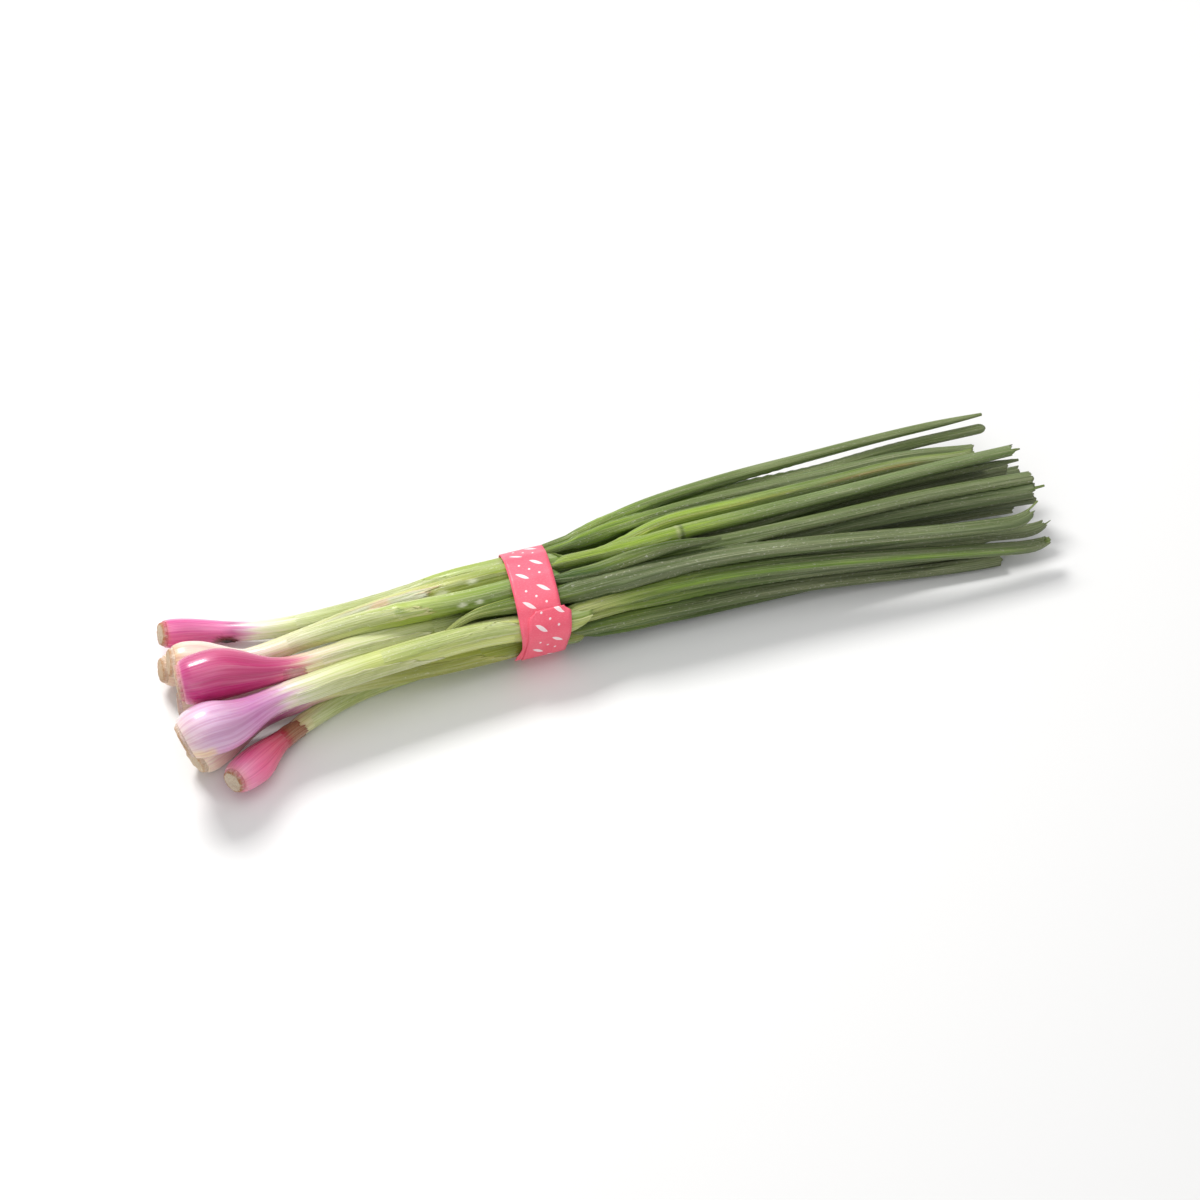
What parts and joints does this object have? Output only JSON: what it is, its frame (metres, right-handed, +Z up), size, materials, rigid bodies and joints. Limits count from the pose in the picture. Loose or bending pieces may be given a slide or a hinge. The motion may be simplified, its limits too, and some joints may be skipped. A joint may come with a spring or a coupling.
{
  "type": "spring onion bunch",
  "caption": "Bunch of fresh spring onions with pink bulbs, pale stems and long dark green leaves, lying down and tied round the middle with a paper band.",
  "frame": {"origin": "middle of the paper band's flat underside, on the surface that the bunch lies on", "axes": "+X along the bunch from the bulbs to the leaf ends, +Y across it, +Z up"},
  "size_m": [0.4404, 0.1081, 0.0509],
  "materials": {
    "root_plate": "cut and dried root plate, tan, rough",
    "stem": "moist pale green leaf sheath, satin",
    "leaf": "dark green hollow leaf with a waxy bloom, satin",
    "paper": "smooth pink paper band, satin",
    "onion_1_skin": "thin wet onion skin, glossy",
    "onion_2_skin": "thin wet onion skin, glossy",
    "onion_3_skin": "thin wet onion skin, glossy",
    "onion_4_skin": "thin wet onion skin, glossy",
    "onion_5_skin": "thin wet onion skin, glossy",
    "onion_6_skin": "thin wet onion skin, glossy",
    "onion_7_skin": "thin wet onion skin, glossy",
    "onion_8_skin": "thin wet onion skin, glossy"
  },
  "bodies": {
    "root": {"onion_1_root_plate": "root_plate", "onion_1_bulb": "onion_1_skin", "onion_1_stem": "stem", "onion_1_leaf_1": "leaf", "onion_1_leaf_2": "leaf", "onion_1_leaf_3": "leaf", "onion_2_root_plate": "root_plate", "onion_2_bulb": "onion_2_skin", "onion_2_stem": "stem", "onion_2_leaf_1": "leaf", "onion_2_leaf_2": "leaf", "onion_2_leaf_3": "leaf", "onion_3_root_plate": "root_plate", "onion_3_bulb": "onion_3_skin", "onion_3_stem": "stem", "onion_3_leaf_1": "leaf", "onion_3_leaf_2": "leaf", "onion_3_leaf_3": "leaf", "onion_3_leaf_4": "leaf", "onion_4_root_plate": "root_plate", "onion_4_bulb": "onion_4_skin", "onion_4_stem": "stem", "onion_4_leaf_1": "leaf", "onion_4_leaf_2": "leaf", "onion_4_leaf_3": "leaf", "onion_5_root_plate": "root_plate", "onion_5_bulb": "onion_5_skin", "onion_5_stem": "stem", "onion_5_leaf_1": "leaf", "onion_5_leaf_2": "leaf", "onion_6_root_plate": "root_plate", "onion_6_bulb": "onion_6_skin", "onion_6_stem": "stem", "onion_6_leaf_1": "leaf", "onion_6_leaf_2": "leaf", "onion_7_root_plate": "root_plate", "onion_7_bulb": "onion_7_skin", "onion_7_stem": "stem", "onion_7_leaf_1": "leaf", "onion_7_leaf_2": "leaf", "onion_8_root_plate": "root_plate", "onion_8_bulb": "onion_8_skin", "onion_8_stem": "stem", "onion_8_leaf_1": "leaf", "onion_8_leaf_2": "leaf", "onion_8_leaf_3": "leaf", "paper_band": "paper"}
  },
  "joints": []
}
